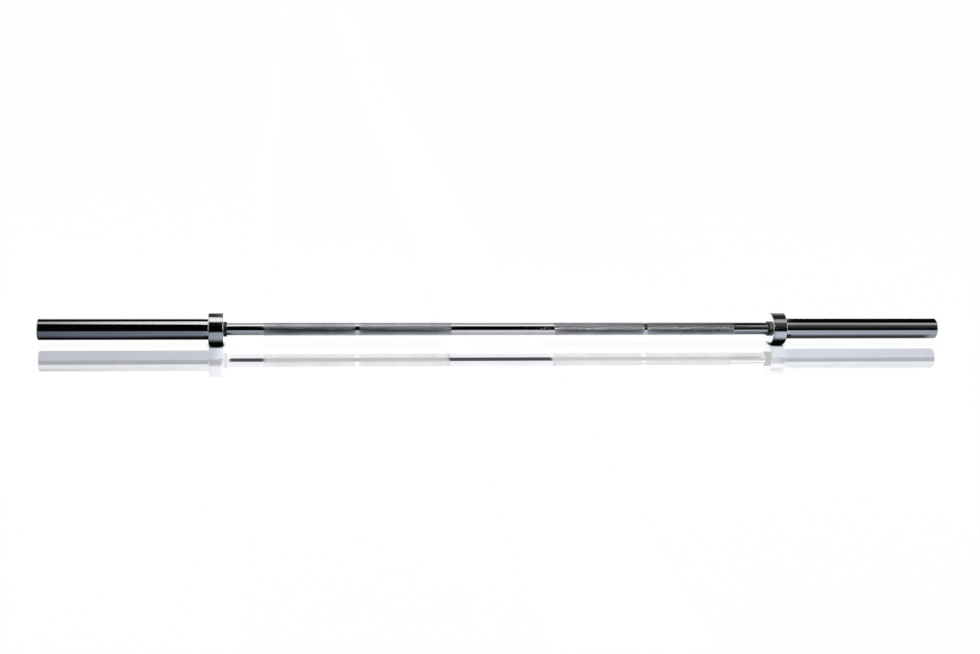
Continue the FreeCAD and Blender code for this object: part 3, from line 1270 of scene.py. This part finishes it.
        # A painted shadow strip that darkens the light on the bar's mirror image.
        forward = wiring.math("ADD", self.y, wiring.spread(aside, *self.SHADOW_STRIP_LEAD))
        strip = wiring.spread(forward, *self.SHADOW_STRIP_FADE)
        share = wiring.less(wiring.times(strip, wiring.spread(aside, *self.SHADOW_STRIP_DEPTH)))
        tone = wiring.blend(self.imaged, self.tone(), self.image_light(0.0, share))
        plain = wiring.add("ShaderNodeBsdfDiffuse", {"Color": self.PLAIN}).outputs[0]
        lit = wiring.add("ShaderNodeBsdfDiffuse", {"Color": (self.LIT,) * 3}).outputs[0]
        white = wiring.add("ShaderNodeAddShader", {0: wiring.glow(WHITE, self.GLOW), 1: lit}).outputs[0]
        mirror = wiring.add("ShaderNodeBsdfGlossy", {"Color": WHITE, "Roughness": 0.0}).outputs[0]
        # The mirror's strength is painted part by part along the bar.
        floor = wiring.mix(self.mirror_strength(), white, mirror)
        # Painted contact shadow: black glow where ambient occlusion finds the bar close.
        near = wiring.add(
            "ShaderNodeAmbientOcclusion", {"Distance": self.CONTACT_SHADOW_REACH}, samples=self.CONTACT_SHADOW_SAMPLES
        ).outputs["AO"]
        floor = wiring.mix(wiring.spread(near, *self.CONTACT_SHADOW_FADE), wiring.glow(BLACK), floor)
        # To the metal the floor glows with its painted reflection tone instead of being lit.
        other = wiring.mix(self.path["Is Glossy Ray"], plain, wiring.glow(tone))
        return self.show(wiring.mix(self.path["Is Camera Ray"], other, floor))


class CardSurface(StageSurface):
    """Dark to the metal, white to the floor's sharp mirror."""

    FAINT = 0.001
    # The end cards brighten with height, and so do the long cards past the ends of the bar.
    END_GLOW = (0.0, 1.3, 0.10, 0.75)
    PAST_FROM = (1.16, 1.7)
    PAST_RISE = (2.0, 50.0, 0.10, 0.75)
    # The front card: a weak upper glow, one bright lane for the right grip, a crown for the left.
    UPPER_RISE = (8.0, 60.0, 0.0, 0.07)
    UPPER_FROM = (0.0, 0.55)
    LANE: Stops = ((0.19, 0.0), (0.215, 1.0), (0.275, 1.0), (0.30, 0.0))
    LANE_LIGHT = 10.5
    LANE_RISE = (5.0, 19.0)
    LANE_FALL = (30.0, 47.0, 1.0, 0.0)
    CROWN: Stops = (
        (-0.575, 0.0), (-0.55, 1.0), (-0.41, 1.0), (-0.385, 0.0),
        (-0.315, 0.0), (-0.29, 1.0), (-0.15, 1.0), (-0.13, 0.0),
    )
    CROWN_LIGHT = 0.45
    CROWN_RISE = (34.0, 52.0)
    # The back card: a roof over the left and the middle, a low band for the right grip, the lit rims.
    ROOF: Stops = ((-0.672, 0.0), (-0.662, 0.46), (0.127, 0.46), (0.14, 0.0))
    LOW: Stops = ((0.127, 0.0), (0.14, 0.46), (0.562, 0.46), (0.574, 0.002))
    LOW_FALL = (45.0, 75.0, 1.0, 0.0)
    LEFT_RIM: Stops = (
        (-1.12, 0.0), (-1.08, 0.33), (-0.72, 0.33), (-0.71, 1.0), (-0.668, 1.0), (-0.655, 0.0),
    )
    LEFT_RIM_LIGHT = 0.9
    LEFT_RIM_START = 10.0
    LEFT_RIM_END = (-0.72, -0.708, 42.0, 27.0)
    RIGHT_RIM: Stops = ((0.57, 0.0), (0.58, 0.15), (0.655, 0.15), (0.664, 0.6), (0.71, 0.6), (0.72, 0.0))
    RIGHT_RIM_FALL = (0.0, 65.0, 0.9, 0.04)
    # How high on the front card the mirror image finds its light, and how dark the card's foot is to it.
    IMAGE_HEIGHT = (0.9, 1.4)
    IMAGE_SHAFT = (0.18, 0.45, 0.1, 1.0)
    IMAGE_SLEEVE = (0.8, 1.2, 0.5, 1.0)

    def __init__(self, card: Card, view: Viewpoint) -> None:
        """Begins the material.

        Args:
            card: Which card it is.
            view: The place that the bar is seen from.
        """
        super().__init__(card.value, view)
        self.card = card

    def front_glint(self, rise: Socket) -> Socket:
        """The front card's light.

        Args:
            rise: Degrees above the bar's level.

        Returns:
            The level's socket.
        """
        wiring, along = self.wiring, self.along
        upper = wiring.times(
            wiring.spread(rise, *self.UPPER_RISE), wiring.spread(along, *self.UPPER_FROM)
        )
        height = wiring.times(wiring.spread(rise, *self.LANE_RISE), wiring.spread(rise, *self.LANE_FALL))
        lane = wiring.times(height, wiring.ramp(along, self.LANE, self.LANE_LIGHT))
        left = wiring.ramp(along, self.CROWN, self.CROWN_LIGHT)
        crown = wiring.times(wiring.spread(rise, *self.CROWN_RISE), left)
        return wiring.math("ADD", upper, wiring.math("ADD", lane, crown))

    def back_glint(self, rise: Socket) -> Socket:
        """The back card's light.

        Args:
            rise: Degrees above the bar's level.

        Returns:
            The level's socket.
        """
        wiring, along = self.wiring, self.along
        roof = wiring.ramp(along, self.ROOF)
        low = wiring.times(wiring.ramp(along, self.LOW), wiring.spread(rise, *self.LOW_FALL))
        end = wiring.spread(along, *self.LEFT_RIM_END)
        left = wiring.times(
            wiring.ramp(along, self.LEFT_RIM, self.LEFT_RIM_LIGHT),
            wiring.spread(rise, self.LEFT_RIM_START, end, 1.0, 0.0),
        )
        right = wiring.times(
            wiring.ramp(along, self.RIGHT_RIM), wiring.spread(rise, *self.RIGHT_RIM_FALL)
        )
        return wiring.math("MAXIMUM", roof, low, left, right)

    def glint(self) -> Socket:
        """The little light that the card gives to the metal.

        Returns:
            The level's socket.
        """
        wiring = self.wiring
        if self.card in (Card.LEFT, Card.RIGHT):
            return wiring.spread(self.z, *self.END_GLOW)
        front = self.card is Card.FRONT
        away = wiring.times(self.y, -1.0 if front else 1.0)
        rise = wiring.math("DEGREES", wiring.math("ARCTAN2", self.z, away))
        past = wiring.times(
            wiring.spread(self.aside, *self.PAST_FROM), wiring.spread(rise, *self.PAST_RISE)
        )
        return wiring.math("ADD", past, self.front_glint(rise) if front else self.back_glint(rise))

    def build(self) -> bpy.types.Material:
        """Builds the material.

        Returns:
            The card's material.
        """
        wiring = self.wiring
        height, share = 1.0, 1.0
        if self.card is Card.FRONT:
            height = wiring.spread(self.z, *self.IMAGE_HEIGHT)
            shaft = wiring.spread(self.z, *self.IMAGE_SHAFT)
            sleeve = wiring.spread(self.z, *self.IMAGE_SLEEVE)
            share = wiring.spread(self.aside, *self.SLEEVE_FROM, shaft, sleeve)
        glint = wiring.math("ADD", self.glint(), self.FAINT)
        tone = wiring.blend(self.imaged, glint, self.image_light(height, share))
        wires = {0: tone, 1: self.path["Is Singular Ray"]}
        tone = wiring.add("ShaderNodeVectorMath", wires, operation="MAXIMUM").outputs[0]
        return self.show(wiring.glow(tone))


class BoxSurface(StageSurface):
    """The softbox, brightest over the left and the middle of the bar."""

    LEVEL: Stops = (
        (-1.18, 0.33), (-0.81, 0.72), (-0.57, 0.96), (0.127, 0.96), (0.16, 0.62), (0.25, 0.36), (0.34, 0.20),
        (0.346, 0.08), (0.360, 0.08), (0.368, 0.12), (0.56, 0.12), (0.58, 0.28), (0.66, 0.28), (0.67, 0.42),
        (0.703, 0.42), (0.712, 0.28), (0.9, 0.28), (1.0, 0.34),
    )
    GAIN = 1.2
    # The mirror image of the right sleeve sees a bright softbox.
    IMAGE_RIGHT = (0.65, 0.69, 0.0, 0.9)

    def build(self) -> bpy.types.Material:
        """Builds the material.

        Returns:
            The softbox's material.
        """
        wiring = self.wiring
        image = wiring.times(self.imaged, wiring.spread(self.along, *self.IMAGE_RIGHT))
        level = wiring.ramp(self.along, self.LEVEL, self.GAIN)
        strength = wiring.math("MAXIMUM", level, image, self.path["Is Singular Ray"])
        return self.show(wiring.glow(WHITE, strength))


@dataclass(frozen=True)
class Station:
    """One place along the softbox, with its near and far edges there."""

    x: float
    near: float
    far: float


@dataclass
class Studio:
    """The pale floor, the overhead softbox and the dark cards that draw the chrome."""

    view: Viewpoint
    floor_reach: float = 30.0
    box_height: float = 1.7
    stations: tuple[Station, ...] = (
        Station(-3.4, 0.10, 0.50),
        Station(-1.5, -0.32, 0.42),
        Station(-0.84, -0.64, 0.60),
        Station(-0.80, -0.74, 0.56),
        Station(-0.755, -0.78, 0.36),
        Station(-0.725, -0.45, 0.33),
        Station(0.35, -0.65, 0.083),
        Station(1.09, -0.82, -0.27),
        Station(1.19, -0.85, -0.27),
        Station(1.215, -1.14, -0.11),
        Station(1.27, -1.14, -0.13),
        Station(1.29, -1.00, -0.13),
        Station(3.8, -1.48, -0.70),
    )
    wall: float = 2.6
    lamp_power: float = 1.2
    lamp_spread: float = 60.0
    lamp_height: float = 2.2
    surround: float = 0.22

    def sheet(
        self, name: str, rows: list[list[tuple[float, float, float]]], material: bpy.types.Material
    ) -> bpy.types.Object:
        """A stage surface through rows of points.

        Args:
            name: Its name.
            rows: Rows of points, each as long as the others.
            material: Its material.

        Returns:
            The stage object.
        """
        width = len(rows[0])
        points = [point for row in rows for point in row]
        faces = [
            (i * width + j, i * width + j + 1, (i + 1) * width + j + 1, (i + 1) * width + j)
            for i in range(len(rows) - 1)
            for j in range(width - 1)
        ]
        mesh = bpy.data.meshes.new(name)
        mesh.from_pydata(points, [], faces)
        mesh.materials.append(material)
        sheet = bpy.data.objects.new(name, mesh)
        bpy.context.scene.collection.objects.link(sheet)
        log.info("built %s", name)
        return sheet

    def build(self) -> None:
        """Builds the floor, the softbox, the cards, the lamp and the world."""
        ground = cad_box[0][2]
        reach, top, wall = self.floor_reach, self.box_height, self.wall
        ground_rows = [[(x, y, ground) for x in (-reach, reach)] for y in (-reach, reach)]
        self.sheet("studio_floor", ground_rows, FloorSurface("studio_floor", self.view).build())
        near = [(stop.x, stop.near, top) for stop in self.stations]
        far = [(stop.x, stop.far, top) for stop in self.stations]
        front_top, front_foot = ([(stop.x, -wall, z) for stop in self.stations] for z in (top, ground))
        back_top, back_foot = ([(stop.x, wall, z) for stop in self.stations] for z in (top, ground))
        left, right = (
            [[(x, y, z) for y in (-wall, wall)] for z in (ground, top)] for x in (near[0][0], near[-1][0])
        )
        rows = {
            Card.FRONT: [front_foot, front_top, near],
            Card.BACK: [far, back_top, back_foot],
            Card.LEFT: left,
            Card.RIGHT: right,
        }
        softbox = BoxSurface("studio_softbox", self.view).build()
        sheets = [self.sheet("studio_softbox", [near, far], softbox)]
        for card in Card:
            sheets.append(self.sheet(card.value, rows[card], CardSurface(card, self.view).build()))
            sheets[-1].visible_diffuse = False
        for sheet in sheets:
            sheet.visible_camera = False
            sheet.visible_shadow = False
            sheet.visible_transmission = False
        self.build_lamp()
        self.build_world()

    def build_lamp(self) -> None:
        """A broad overhead light that lights the floor and draws the bar's soft shadow."""
        light = bpy.data.lights.new("studio_lamp", "SUN")
        light.energy = self.lamp_power
        light.angle = math.radians(self.lamp_spread)
        lamp = bpy.data.objects.new("studio_lamp", light)
        lamp.location = (0.0, 0.0, self.lamp_height)
        lamp.visible_glossy = False
        lamp.visible_camera = False
        bpy.context.scene.collection.objects.link(lamp)

    def build_world(self) -> None:
        """A white surround that lights at a plain level."""
        world = bpy.data.worlds.new("studio_world")
        bpy.context.scene.world = world
        world.use_nodes = True
        world.node_tree.nodes.clear()
        wiring = Wiring(world.node_tree)
        path = wiring.add("ShaderNodeLightPath").outputs
        rays = ("Is Camera Ray", "Is Glossy Ray", "Is Transmission Ray")
        shown = wiring.math("MAXIMUM", *(path[ray] for ray in rays))
        strength = wiring.spread(shown, 0.0, 1.0, self.surround, 1.0)
        glow = wiring.add("ShaderNodeBackground", {"Color": WHITE, "Strength": strength}).outputs[0]
        wiring.add("ShaderNodeOutputWorld", {"Surface": glow})


def main() -> None:
    """Builds the bar, the studio and the camera in order."""
    logging.basicConfig(level=logging.INFO, format="%(message)s")
    bpy.context.scene.view_settings.view_transform = "Standard"
    wardrobe = Wardrobe(EffectShelf())
    Shaft().build(wardrobe)
    for side in Side:
        SleeveUnit(side).build(wardrobe)
        ThrustStack(side).build(wardrobe)
    view = Viewpoint()
    Studio(view).build()
    view.build()


if __name__ == "__main__":
    main()
